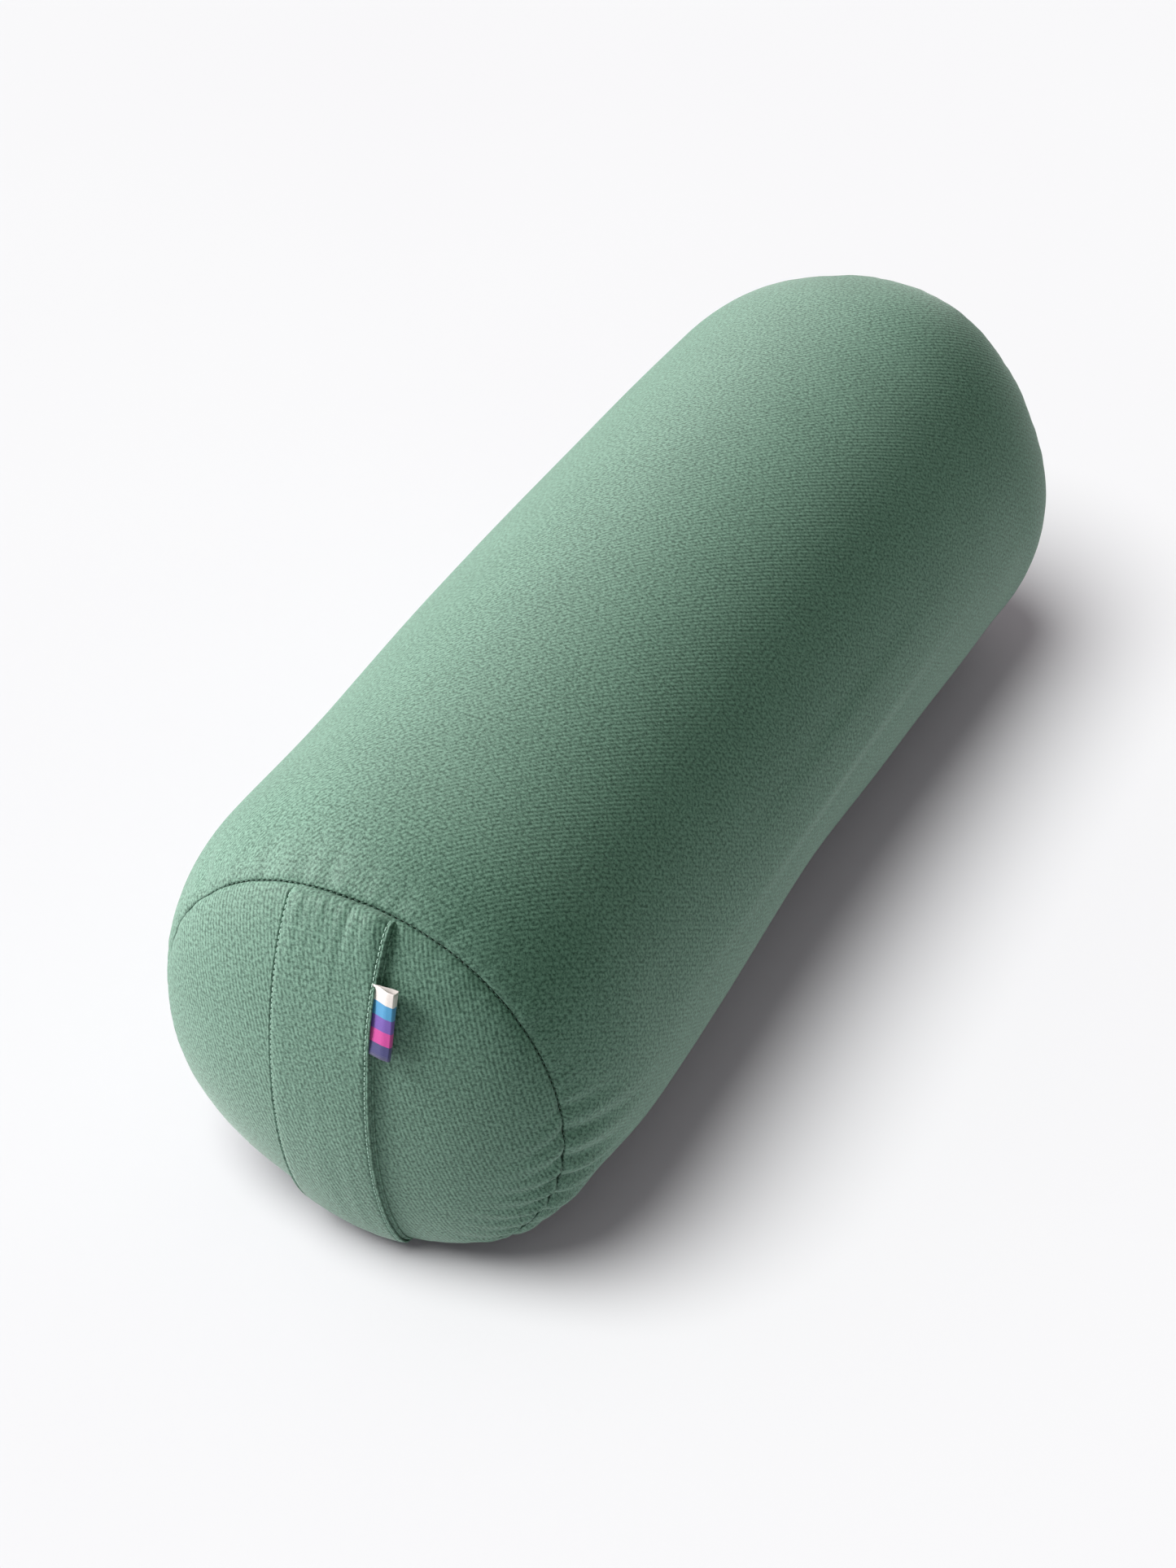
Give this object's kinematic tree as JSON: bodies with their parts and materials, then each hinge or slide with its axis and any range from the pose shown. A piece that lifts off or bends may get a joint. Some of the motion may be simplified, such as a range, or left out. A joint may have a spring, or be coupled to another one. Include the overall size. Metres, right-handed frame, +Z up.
{
  "type": "bolster pillow",
  "caption": "Round zip-covered bolster pillow in green cotton twill, lying on its side, with a sewn carry strap and a folded label tab on one domed end.",
  "frame": {"origin": "middle of the bolster's length, on the surface that it lies on, under its axis", "axes": "+Z up, +Y along the bolster's axis away from the strap end, +X to the right seen from the strap end; the cover's zip is on the -X side"},
  "size_m": [0.2202, 0.5981, 0.212],
  "materials": {
    "cover_twill": "matt cotton twill, fine diagonal wale, slightly brushed",
    "strap_twill": "matt cotton twill, folded and edge-stitched",
    "label_ribbon": "woven polyester ribbon in cross bands of five colours, soft sheen",
    "care_satin": "blank white satin tape",
    "zip_tape": "woven polyester tape, matt",
    "zip_coil": "moulded monofilament coil, satin",
    "zip_metal": "lacquered die-cast zinc, satin",
    "liner_calico": "unbleached plain-weave calico, matt",
    "liner_zip_tape": "woven polyester tape, natural white",
    "liner_zip_coil": "monofilament coil, natural white",
    "filling_fibre": "loose fibre, matt"
  },
  "bodies": {
    "cushion": {"cover_tube": "cover_twill", "cover_end_front": "cover_twill", "cover_end_rear": "cover_twill", "strap_inner_ply": "strap_twill", "strap_outer_ply": "strap_twill", "care_label": "care_satin", "cover_zip_tape_upper": "zip_tape", "cover_zip_tape_lower": "zip_tape", "cover_zip_coil_upper": "zip_coil", "cover_zip_coil_lower": "zip_coil", "cover_zip_top_stop_upper": "zip_metal", "cover_zip_top_stop_lower": "zip_metal", "cover_zip_bottom_stop": "zip_metal", "liner_tube": "liner_calico", "liner_end_front": "liner_calico", "liner_end_rear": "liner_calico", "liner_zip_tape_upper": "liner_zip_tape", "liner_zip_tape_lower": "liner_zip_tape", "liner_zip_coil_upper": "liner_zip_coil", "liner_zip_coil_lower": "liner_zip_coil", "liner_zip_top_stop_upper": "zip_metal", "liner_zip_top_stop_lower": "zip_metal", "liner_zip_bottom_stop": "zip_metal", "filling": "filling_fibre"},
    "cover_slider": {"cover_zip_slider": "zip_metal"},
    "cover_pull": {"cover_zip_pull": "zip_metal"},
    "liner_slider": {"liner_zip_slider": "zip_metal", "liner_zip_pull": "zip_metal"},
    "label": {"label_tab": "label_ribbon"}
  },
  "joints": [
    {"name": "cover_zip_slide", "type": "slide", "parent": "cushion", "child": "cover_slider", "axis": [0, -1, 0], "range_m": [0, 0.3675]},
    {"name": "cover_pull_hinge", "type": "hinge", "parent": "cover_slider", "child": "cover_pull", "pos_m": [-0.10863, 0.1839, 0.12808], "axis": [0.2334, 0, 0.9724], "range_deg": [0, 170]},
    {"name": "liner_zip_slide", "type": "slide", "parent": "cushion", "child": "liner_slider", "axis": [0, -1, 0], "range_m": [0, 0.3695]},
    {"name": "label_hinge", "type": "hinge", "parent": "cushion", "child": "label", "pos_m": [0.0243, -0.29068, 0.1606], "axis": [0, -0.2729, -0.962], "range_deg": [0, 60]}
  ]
}
